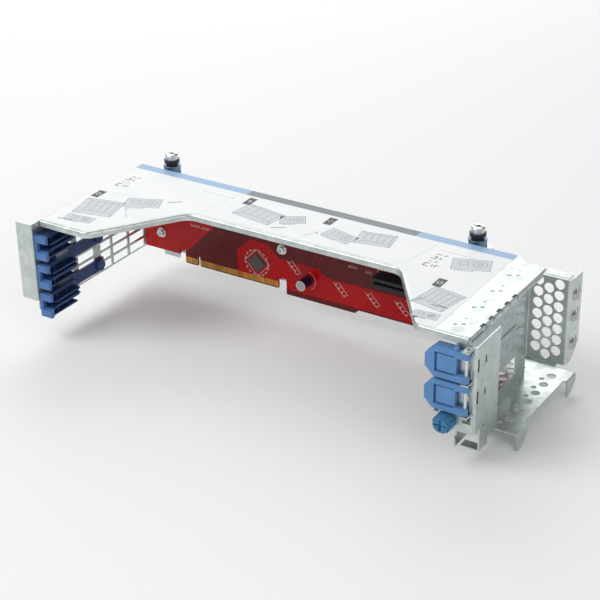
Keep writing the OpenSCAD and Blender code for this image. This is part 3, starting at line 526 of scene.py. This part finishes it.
def stroke_corners(segments, width):
    """Rectangles round straight strokes: p - e, q + e along the stroke, half a width to each side.
    Strokes of no length, such as the last of a closed ring, are left out."""
    s = np.asarray(segments, float).reshape(-1, 2, 2)
    s = s[np.linalg.norm(s[:, 1] - s[:, 0], axis=1) > 1e-9]
    run = s[:, 1] - s[:, 0]
    unit = run / np.linalg.norm(run, axis=1, keepdims=True)
    side = np.stack([-unit[:, 1], unit[:, 0]], 1) * width / 2
    a, b = s[:, 0] - unit * width / 2, s[:, 1] + unit * width / 2
    return np.stack([a - side, b - side, b + side, a + side], 1)


def chain(points, closed=False):
    """Strokes through a list of points: each point to the next."""
    p = np.asarray(points, float)
    q = np.roll(p, -1, 0)
    pairs = np.stack([p, q], 1)
    return pairs if closed else pairs[:-1]


def rect(mid, size, turn=0.0):
    """Corners of a rectangle about mid: half sizes turned by an angle in degrees."""
    h = np.array([[-1, -1], [1, -1], [1, 1], [-1, 1]]) * np.asarray(size, float) / 2
    a = math.radians(turn)
    spin = np.array([[math.cos(a), math.sin(a)], [-math.sin(a), math.cos(a)]])
    return h @ spin + np.asarray(mid, float)


def ring(mid, radius, start=0.0, stop=360.0, steps=24):
    """Points on a circle: mid + radius (cos a, sin a) for evenly spaced a."""
    a = np.radians(np.linspace(start, stop, steps + 1))
    return np.stack([np.cos(a), np.sin(a)], 1) * radius + np.asarray(mid, float)


def on_plate(u, v, h):
    """Plate art: u along the cage, v back, h above the label, all in millimetres."""
    return np.stack([u * MM + CORNER[0], v * MM + CORNER[1], h * MM + LABEL_TOP], -1)


def on_board(u, v, h):
    """Board pieces: u along the cage, v up, h out from the board's front face, in millimetres."""
    return np.stack([u * MM + CORNER[0], BOARD_FACE - h * MM, v * MM + CORNER[2]], -1)


def revolve(name, profile, mid, mat, slot, steps=64):
    """A closed turned piece on the cage: a profile of (radius, height) points carried round an axis
    through mid that points to the front, x = r cos a, y = -h, z = r sin a; the first and last
    radius are 0 and close it with two fans."""
    p = np.asarray(profile, float) * MM
    a = np.linspace(0, 2 * np.pi, steps, endpoint=False)
    inner = p[1:-1]
    grid = np.stack([inner[:, None, 0] * np.cos(a), inner[:, None, 0] * np.sin(a),
                     np.broadcast_to(inner[:, None, 1], (len(inner), steps))], -1).reshape(-1, 3)
    verts = np.vstack([grid, [[0, 0, p[0, 1]], [0, 0, p[-1, 1]]]])
    i = np.arange(len(inner) - 1)[:, None] * steps
    j = np.arange(steps)[None]
    k = (j + 1) % steps
    quads = np.stack([i + j, i + k, i + steps + k, i + steps + j], -1).reshape(-1, 4).tolist()
    first, final = len(grid), len(grid) + 1
    top = (len(inner) - 1) * steps
    fans = [[first, int((t + 1) % steps), int(t)] for t in range(steps)]
    fans += [[final, top + t, top + (t + 1) % steps] for t in range(steps)]
    verts = np.stack([verts[:, 0], -verts[:, 2], verts[:, 1]], 1) + np.asarray(mid)
    mesh = bpy.data.meshes.new(name)
    mesh.from_pydata(verts.tolist(), [], quads + fans)
    mesh.materials.append(mat)
    mesh.shade_smooth()
    mesh.set_sharp_from_angle(angle=math.radians(38))
    return mount(name, mesh, "cage", slot)


def coil(name, mid, radius, wire, low, high, turns, mat, slot, steps=26, sides=12):
    """A round wire on a helix, riding on the cage: centre line (R cos a, R sin a, z(a)), section
    r (radial cos b, up sin b); the first and last turn lie flat, as on a ground spring."""
    t = np.linspace(0, 1, turns * steps + 1)
    a = 2 * np.pi * turns * t
    eased = np.clip((t * turns - 0.75) / (turns - 1.5), 0, 1)
    flat = wire * 0.7
    z = low + wire + (high - low - 2 * wire) * eased + flat * (np.minimum(t * turns, 1) - 1) \
        + flat * np.maximum(t * turns - turns + 1, 0)
    b = np.linspace(0, 2 * np.pi, sides, endpoint=False)
    reach = radius + wire * np.cos(b)[None]
    verts = np.stack([reach * np.cos(a)[:, None], reach * np.sin(a)[:, None],
                      z[:, None] + wire * np.sin(b)[None]], -1).reshape(-1, 3)
    i = np.arange(len(t) - 1)[:, None] * sides
    j = np.arange(sides)[None]
    k = (j + 1) % sides
    quads = np.stack([i + j, i + sides + j, i + sides + k, i + k], -1).reshape(-1, 4).tolist()
    ends = [list(range(sides)), [(len(t) - 1) * sides + s for s in range(sides - 1, -1, -1)]]
    mesh = bpy.data.meshes.new(name)
    mesh.from_pydata((verts + np.asarray(mid)).tolist(), [], quads + ends)
    mesh.materials.append(mat)
    mesh.shade_smooth()
    return mount(name, mesh, "cage", slot)


def softened(node, mat, width, segments=2, angle=32.0):
    """A copy of a CAD node with its corners merged, flat areas joined and its edges rounded by width
    millimetres. It stands for the node."""
    mesh = NODES[node].data.copy()
    mesh.name = node + "_finish"
    work = bmesh.new()
    work.from_mesh(mesh)
    bmesh.ops.remove_doubles(work, verts=work.verts, dist=0.000004)
    bmesh.ops.dissolve_limit(work, angle_limit=math.radians(0.6), verts=work.verts, edges=work.edges)
    work.to_mesh(mesh)
    work.free()
    mesh.materials.clear()
    mesh.materials.append(mat)
    mesh.shade_smooth()
    mesh.set_sharp_from_angle(angle=math.radians(angle))
    obj = bpy.data.objects.new(node + "_finish", mesh)
    bpy.context.scene.collection.objects.link(obj)
    rounding = obj.modifiers.new("rounding", "BEVEL")
    rounding.width = width * MM
    rounding.segments = segments
    rounding.limit_method = "ANGLE"
    rounding.angle_limit = math.radians(angle)
    rounding.harden_normals = True
    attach(obj, BODY_OF[node])
    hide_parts(node)
    return obj


def dressed(node, mat):
    """A CAD node that stays as it is, with its material."""
    mesh = NODES[node].data
    mesh.materials.clear()
    mesh.materials.append(mat)


for node in ("cage_shell", "io_bracket", "floor_panel", "retainer_plate"):
    softened(node, GALVANISED, 0.14)
for node in ("slot_blank_1", "slot_blank_2"):
    softened(node, BLANK_STEEL, 0.12)
for node in ("latch_1", "latch_2"):
    softened(node, LATCH_BLUE, 0.45, 3)
for node in ("card_guide_1", "card_guide_2", "card_guide_3"):
    softened(node, GUIDE_BLUE, 0.25)
softened("thumbscrew_knob", KNOB_BLUE, 0.3, 3)
for node in ("socket_1", "socket_2"):
    softened(node, SOCKET_BLACK, 0.15)
softened("bridge_chip", CHIP_GREY, 0.12)
for side in ("left", "right"):
    softened(side + "_collar", COLLAR, 0.35, 3)
    softened(side + "_cup", CUP_BLACK, 0.3, 3)
    softened(side + "_screw", BRIGHT, 0.18)
for node in ("board_screws", "floor_rivets", "latch_rod", "clinch_nut", "board_standoffs"):
    softened(node, BRIGHT, 0.12)
softened("thumbscrew_shank", BRIGHT, 0.15)
softened("contact_springs", WIRE, 0.05)
softened("riser_board", BOARD, 0.08)
dressed("top_label", LABEL)
dressed("edge_contacts", GOLD)

# Springs of the captive screws
COIL_RADIUS, COIL_WIRE, COIL_TURNS = 2.95 * MM, 0.32 * MM, 5
for side in ("left", "right"):
    low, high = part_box(side + "_spring")
    middle = (low + high) / 2
    spring = coil(side + "_coil", (middle.x, middle.y, 0), COIL_RADIUS, COIL_WIRE, low.z, high.z,
                  COIL_TURNS, WIRE, "spring_steel")
    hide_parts(side + "_spring")

# Capacitor: base flange, waist, sleeve, rolled rim and a top with a shallow dish
can_low, can_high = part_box("capacitor")
can_mid = ((can_low.x + can_high.x) / 2, BOARD_FACE, (can_low.z + can_high.z) / 2)
CAN_PROFILE = [(0, 0), (3.9, 0), (4.0, 0.15), (4.0, 0.9), (3.7, 1.2), (3.7, 1.5), (4.0, 1.8),
               (4.0, 11.0), (3.9, 11.3), (3.65, 11.45), (3.4, 11.42), (3.3, 11.3), (3.25, 11.2),
               (0, 11.2)]
can = revolve("capacitor_can", CAN_PROFILE, can_mid, CAN, "can_sleeve")
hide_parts("capacitor")

# ---------------------------------------------------------------- board details


def small_parts(name, mids, turns, size, mat, cap_mat, slot):
    """Two-ended surface parts: a body with a tinned cap at each end, all as prisms."""
    length, width, height = size
    body, caps = [], []
    for mid, turn in zip(mids, turns):
        a = math.radians(turn)
        step = np.array([math.cos(a), math.sin(a)]) * (length / 2 - 0.22)
        body.append(rect(mid, (length - 0.5, width * 0.94), turn))
        caps += [rect(np.asarray(mid) + way * step, (0.46, width), turn) for way in (1, -1)]
    made = add_piece(name + "_bodies", *prisms(body, 0.0, height * 0.96, on_board), mat, slot)
    add_piece(name + "_ends", *prisms(caps, 0.0, height, on_board), cap_mat, "bright_steel")
    return made


CHIP_AT = np.array([106.7, -56.4])
around = np.radians(np.arange(16) * 22.5 + 8)
ring_mids = CHIP_AT + np.stack([np.cos(around), np.sin(around)], 1) * 10.3
ring_turns = np.degrees(around) + 90
ROWS = [(136, -49), (176, -56.5), (203, -58), (227, -58.5)]
row_steps = np.arange(4)[:, None] * np.array([2.4, -2.6])
row_mids = np.concatenate([np.asarray(p) + row_steps for p in ROWS])
row_turns = np.full(len(row_mids), 45.0)
parts = small_parts("ring_part", ring_mids, ring_turns, (2.0, 1.2, 0.7), PART_TAN, TIN, "chip_grey")
small_parts("row_part", row_mids, row_turns, (1.8, 1.0, 0.6), PART_TAN, TIN, "chip_grey")
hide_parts("board_passives")

CAN_AT = (150.2, -60.2)
silk = [chain(ring(CAN_AT, 7.6, -60, 75, 16))]
silk.append(chain(rect(CHIP_AT, (15.5, 15.5), 45), True))
silk.append(chain([(115.6, -56.4), (117.0, -55.4), (117.0, -57.4)], True))
for x0, z0 in ROWS:
    silk.append(chain([(x0 - 2.6, z0 + 0.6), (x0 + 5.6, z0 - 8.4)]))
    silk.append(chain([(x0 + 1.6, z0 + 1.6), (x0 + 9.6, z0 - 7.2)]))
for x0, z0, n in ((46, -40.2, 5), (56, -40.4, 4), (186, -40, 4), (200, -41, 3)):
    for k in range(n):
        left = x0 + 1.9 * k
        silk.append(chain([(left, z0), (left + 1.0, z0), (left + 1.0, z0 + 1.6)]))
for z0 in (-18.2, -41.06):
    silk.append(chain(rect((239.5, z0), (58.5, 10)), True))
SILK_WIDTH = 0.32
silk_corners = stroke_corners(np.concatenate(silk), SILK_WIDTH)
add_piece("board_silk", *prisms(silk_corners, -0.01, 0.035, on_board), SILK, "board_red")

# ---------------------------------------------------------------- printed label

PALE, GREY, DARK, WHITE, DARK_LINES = [], [], [], [], []


def sketch_card(mid, size, turn):
    """A generic board drawing: outline, edge contacts, a chip and a fan circle."""
    w, d = size
    m = np.asarray(mid, float)
    a = math.radians(turn)
    spin = np.array([[math.cos(a), math.sin(a)], [-math.sin(a), math.cos(a)]])

    def at(points):
        return np.asarray(points, float) @ spin + m

    PALE.append(rect(m, (w, d), turn))
    GREY.append(chain(rect(m, (w, d), turn), True))
    GREY.append(chain(at([(-w * 0.42, -d * 0.62), (w * 0.1, -d * 0.62)])))
    for k in range(6):
        finger = -w * 0.4 + k * w * 0.09
        GREY.append(chain(at([(finger, -d * 0.5), (finger, -d * 0.62)])))
    GREY.append(chain(at(rect((-w * 0.2, d * 0.1), (w * 0.22, d * 0.34))), True))
    GREY.append(chain(at(ring((w * 0.22, d * 0.05), d * 0.28)), True))
    GREY.append(chain(at(ring((w * 0.22, d * 0.05), d * 0.1, steps=12)), True))


def sketch_cage(mid, size, turn):
    """A generic cage drawing: two nested frames joined at the corners, with slot lines."""
    w, d = size
    m = np.asarray(mid, float)
    outer, inner = rect(m, (w, d), turn), rect(m + (1.2, 1.6), (w * 0.72, d * 0.62), turn)
    PALE.append(outer)
    GREY.append(chain(outer, True))
    GREY.append(chain(inner, True))
    GREY.append(np.stack([outer, inner], 1))
    for k in range(3):
        t = 0.25 + 0.25 * k
        ends = [inner[0] + (inner[1] - inner[0]) * t, inner[3] + (inner[2] - inner[3]) * t]
        GREY.append(np.stack(ends)[None])


def arrow(start, end, width):
    """A plain arrow: a shaft and two barbs."""
    s, e = np.asarray(start, float), np.asarray(end, float)
    u = (e - s) / np.linalg.norm(e - s)
    v = np.array([-u[1], u[0]])
    barbs = [e - u * 2.2 * width + v * 1.5 * width, e, e - u * 2.2 * width - v * 1.5 * width]
    return [chain([s, e]), chain(barbs)]


def step_box(mid, kind):
    """A dark square with a plain white mark: one of three simple signs."""
    m = np.asarray(mid, float)
    DARK.append(stroke_corners([[m - (0, 2.6), m + (0, 2.6)]], 6.4)[0])
    marks = {
        0: [chain(rect(m, (3.0, 3.4)), True)],
        1: arrow(m - (0, 1.8), m + (0, 1.8), 0.8),
        2: [chain(ring(m, 1.7, steps=12), True)],
    }
    WHITE.extend(marks[kind])


def symbol_group(x, y):
    """A cluster of plain marks: brackets, bars and dots in two rows."""
    DARK_LINES.append(chain([(x + 3, y), (x, y), (x, y + 4), (x + 3, y + 4)]))
    DARK_LINES.append(chain([(x + 6, y + 0.5), (x + 6, y + 3)]))
    DARK_LINES.append(chain([(x + 8.2, y + 0.5), (x + 8.2, y + 3.2), (x + 9.8, y + 3.2)]))
    DARK_LINES.append(chain([(x + 1, y + 7.5), (x + 2.6, y + 7.5)]))
    DARK_LINES.append(chain([(x + 5.2, y + 7), (x + 6.6, y + 8.4)]))
    DARK_LINES.append(chain([(x, y + 12), (x + 3.2, y + 12), (x + 3.2, y + 15.4), (x + 0.6, y + 15.4)]))
    DARK_LINES.append(chain([(x + 6.4, y + 12), (x + 6.4, y + 14.8)]))
    DARK_LINES.append(chain([(x + 1.2, y + 19), (x + 4.6, y + 19)]))
    DARK_LINES.append(chain([(x + 7, y + 18.4), (x + 8.4, y + 20)]))


symbol_group(9, -44)
symbol_group(268, -46)
for mid, kind in (((8.5, -63), 0), ((112, -18.5), 1), ((180, -18.5), 2), ((290, -63.5), 0)):
    step_box(mid, kind)
sketch_cage((24, -82), (30, 26), 12)
sketch_card((47, -60), (26, 15), 24)
sketch_card((24, -104), (22, 9), 6)
sketch_cage((130, -34), (34, 20), -8)
sketch_card((156, -30), (18, 12), 30)
sketch_card((198, -36), (24, 13), -14)
sketch_cage((222, -28), (26, 19), 10)
sketch_cage((300, -84), (24, 26), -10)
sketch_card((296, -30), (26, 16), 20)
sketch_card((303, -107), (17, 8), 4)
for start, end in (((52, -86), (42, -74)), ((176, -48), (182, -38)), ((284, -98), (290, -88))):
    GREY += arrow(start, end, 1.2)
DARK_LINES += [chain([(10, -110.5), (21, -108.5)]), chain([(62, -50), (70, -44)]),
               chain([(150, -48), (158, -43)]), chain([(300, -93), (310, -92)])]
for k in range(9):
    GREY.append(chain([(72 + 3.2 * k, -20), (74 + 3.2 * k, -20)]))
    GREY.append(chain([(268 + 3.0 * k, -20.5), (269.8 + 3.0 * k, -20.5)]))
# Frames round the three drawing fields
FRAMES = [chain([(98, -13), (92, -55), (238, -55)]), chain([(262, -13), (256, -52)]),
          chain([(4, -56), (36, -54)])]


def print_layer(name, lines, fills, width, low, high, mat):
    """One ink as one mesh: strokes of a width, and filled four-sided areas, as thin prisms."""
    corners = [stroke_corners(np.concatenate(lines), width)] if lines else []
    if fills:
        corners.append(np.asarray(fills, float))
    verts, faces = prisms(np.concatenate(corners), low, high, on_plate)
    add_piece(name, verts, faces, mat, "label_film")


print_layer("print_pale", FRAMES, PALE, 0.4, -0.02, 0.012, INK_PALE)
print_layer("print_grey", GREY, [], 0.34, -0.02, 0.022, INK_GREY)
print_layer("print_dark", DARK_LINES, DARK, 0.75, -0.02, 0.03, INK_DARK)
print_layer("print_white", WHITE, [], 0.5, -0.02, 0.04, INK_WHITE)

# ---------------------------------------------------------------- stage, light and camera


def floor_look(net):
    """Plain pale floor."""
    return {"Base Color": (0.98, 0.985, 0.985, 1)}


low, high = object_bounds()
centre = (low + high) / 2
bpy.ops.mesh.primitive_plane_add(size=40, location=(centre.x, centre.y, low.z - 0.0002))
floor = bpy.context.object
floor.name = "floor"
floor.data.materials.append(material("floor_white", floor_look, Roughness=0.85))

# Strength of the white surroundings: as light, and as seen in reflections
AMBIENT, REFLECTED = 0.42, 0.5
world = bpy.data.worlds.new("studio")
bpy.context.scene.world = world
world.use_nodes = True
sky = Net(world.node_tree)
back = next(n for n in world.node_tree.nodes if n.type == "BACKGROUND")
path = sky.node("LightPath").outputs
seen = sky.math("MAXIMUM", path["Is Camera Ray"], path["Is Transmission Ray"])
strength = sky.math("MAXIMUM", seen, sky.math("MULTIPLY", path["Is Glossy Ray"], REFLECTED))
sky.feed(back.inputs["Strength"], sky.math("MAXIMUM", strength, AMBIENT))
back.inputs["Color"].default_value = (1, 1, 1, 1)


def area_light(name, spot, aim, size, power):
    """A square soft light at a spot, turned towards aim."""
    data = bpy.data.lights.new(name, "AREA")
    data.size = size
    data.energy = power
    obj = bpy.data.objects.new(name, data)
    obj.location = spot
    obj.rotation_mode = "QUATERNION"
    obj.rotation_quaternion = (Vector(aim) - Vector(spot)).to_track_quat("-Z", "Y")
    bpy.context.scene.collection.objects.link(obj)


area_light("key", centre + Vector((-0.9, -1.0, 1.5)), centre, 1.1, 17)
area_light("fill", centre + Vector((1.5, -0.9, 0.8)), centre, 1.4, 7)
area_light("rear", centre + Vector((-0.85, 1.35, 0.95)), centre, 1.5, 12)

# Camera: its place from the corner, its pitch, roll and heading in degrees, and its lens
VIEW_FROM = np.array([0.70096, -0.86809, 0.45879])
VIEW_TURN = (62.4201, 0.9019, 32.3282)
LENS = 93.81
turned = Euler([math.radians(a) for a in VIEW_TURN]).to_matrix().to_4x4()
camera_data = bpy.data.cameras.new("camera")
camera_data.sensor_width = 36.0
camera_data.lens = LENS
camera = bpy.data.objects.new("camera", camera_data)
camera.matrix_world = Matrix.Translation(Vector(VIEW_FROM + CORNER)) @ turned
bpy.context.scene.collection.objects.link(camera)
bpy.context.scene.camera = camera
bpy.context.scene.view_settings.view_transform = "Standard"
